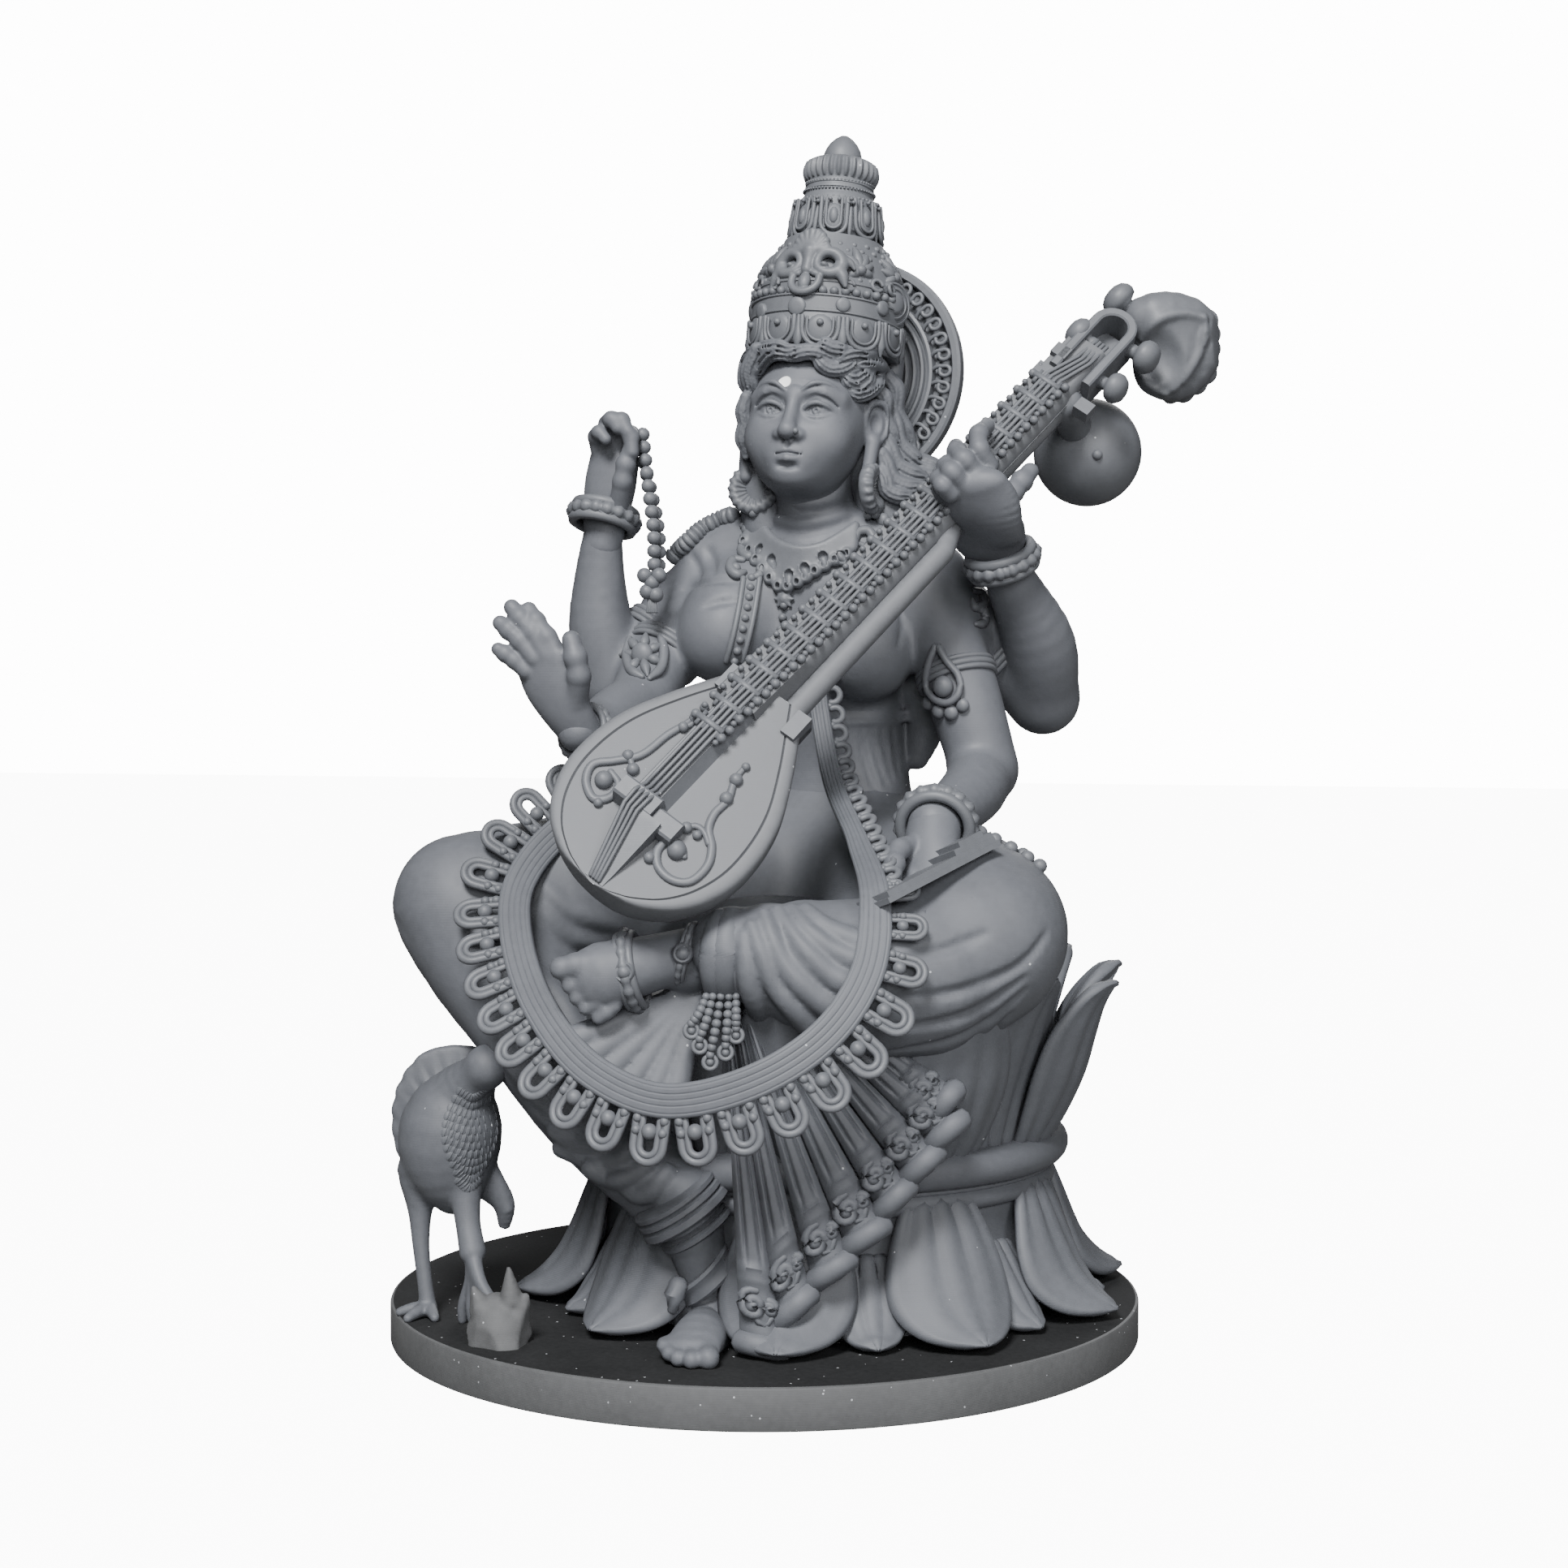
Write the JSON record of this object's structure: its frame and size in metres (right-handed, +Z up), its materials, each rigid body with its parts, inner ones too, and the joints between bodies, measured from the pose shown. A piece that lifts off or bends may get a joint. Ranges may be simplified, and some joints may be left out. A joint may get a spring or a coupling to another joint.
{
  "type": "saraswati figurine",
  "caption": "Seated goddess figurine with several arms holding a long-necked lute, on a lotus seat with a swan beside it, all on a round disc base",
  "frame": {"origin": "centre of the underside of the round base", "axes": "+Z up from the base to the tip of the crown; the figure's chest faces -Y; +X is the figure's left, where the head of the lute points"},
  "size_m": [0.1055, 0.1, 0.1613],
  "materials": {
    "resin": "raw cured grey printing resin, satin, with faint layer lines and pale dust"
  },
  "bodies": {
    "root": {"saraswati_figure": "resin"}
  },
  "joints": []
}
